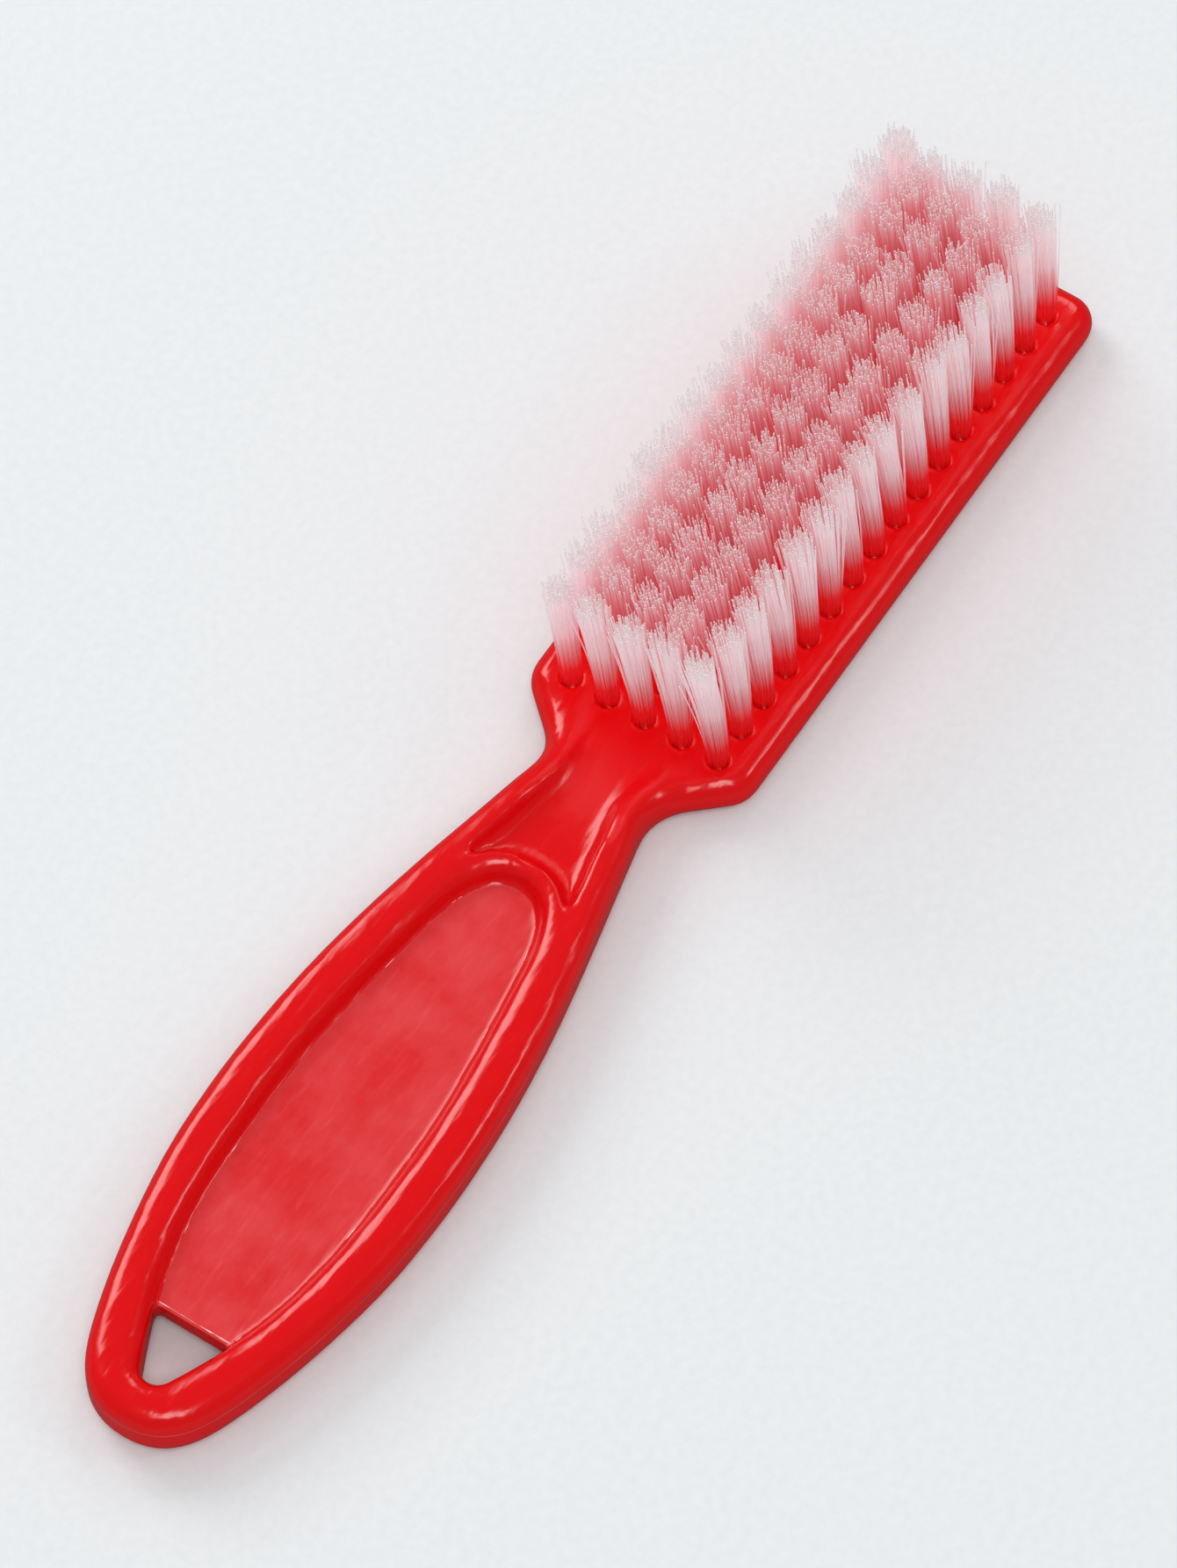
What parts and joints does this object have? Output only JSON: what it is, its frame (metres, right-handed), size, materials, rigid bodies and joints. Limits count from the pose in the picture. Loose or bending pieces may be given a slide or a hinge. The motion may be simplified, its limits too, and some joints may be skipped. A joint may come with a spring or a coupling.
{
  "type": "neck duster brush",
  "caption": "Flat salon brush in glossy plastic: an oval rimmed handle with a hanging hole, a narrow neck and an oblong head set with nylon tufts.",
  "frame": {"origin": "under the middle of the brush, on the plane that its back lies on, with the bristles up", "axes": "+X along the brush from the hanging end of the handle to the far end of the head, +Y to the left when looking along +X, +Z out of the bristle face"},
  "size_m": [0.1758, 0.029, 0.0279],
  "materials": {
    "red_plastic": "glossy moulded",
    "nylon_bristle": "translucent filament",
    "anchor_metal": "drawn flat wire"
  },
  "bodies": {
    "root": {"brush_body": "red_plastic", "tuft_row_01": "nylon_bristle", "tuft_row_02": "nylon_bristle", "tuft_row_03": "nylon_bristle", "tuft_row_04": "nylon_bristle", "tuft_row_05": "nylon_bristle", "tuft_row_06": "nylon_bristle", "tuft_row_07": "nylon_bristle", "tuft_row_08": "nylon_bristle", "tuft_row_09": "nylon_bristle", "tuft_row_10": "nylon_bristle", "tuft_row_11": "nylon_bristle", "tuft_row_12": "nylon_bristle", "tuft_row_13": "nylon_bristle", "tuft_row_14": "nylon_bristle", "tuft_row_15": "nylon_bristle", "tuft_row_16": "nylon_bristle", "anchor_row_01": "anchor_metal", "anchor_row_02": "anchor_metal", "anchor_row_03": "anchor_metal", "anchor_row_04": "anchor_metal", "anchor_row_05": "anchor_metal", "anchor_row_06": "anchor_metal", "anchor_row_07": "anchor_metal", "anchor_row_08": "anchor_metal", "anchor_row_09": "anchor_metal", "anchor_row_10": "anchor_metal", "anchor_row_11": "anchor_metal", "anchor_row_12": "anchor_metal", "anchor_row_13": "anchor_metal", "anchor_row_14": "anchor_metal", "anchor_row_15": "anchor_metal", "anchor_row_16": "anchor_metal"}
  },
  "joints": []
}
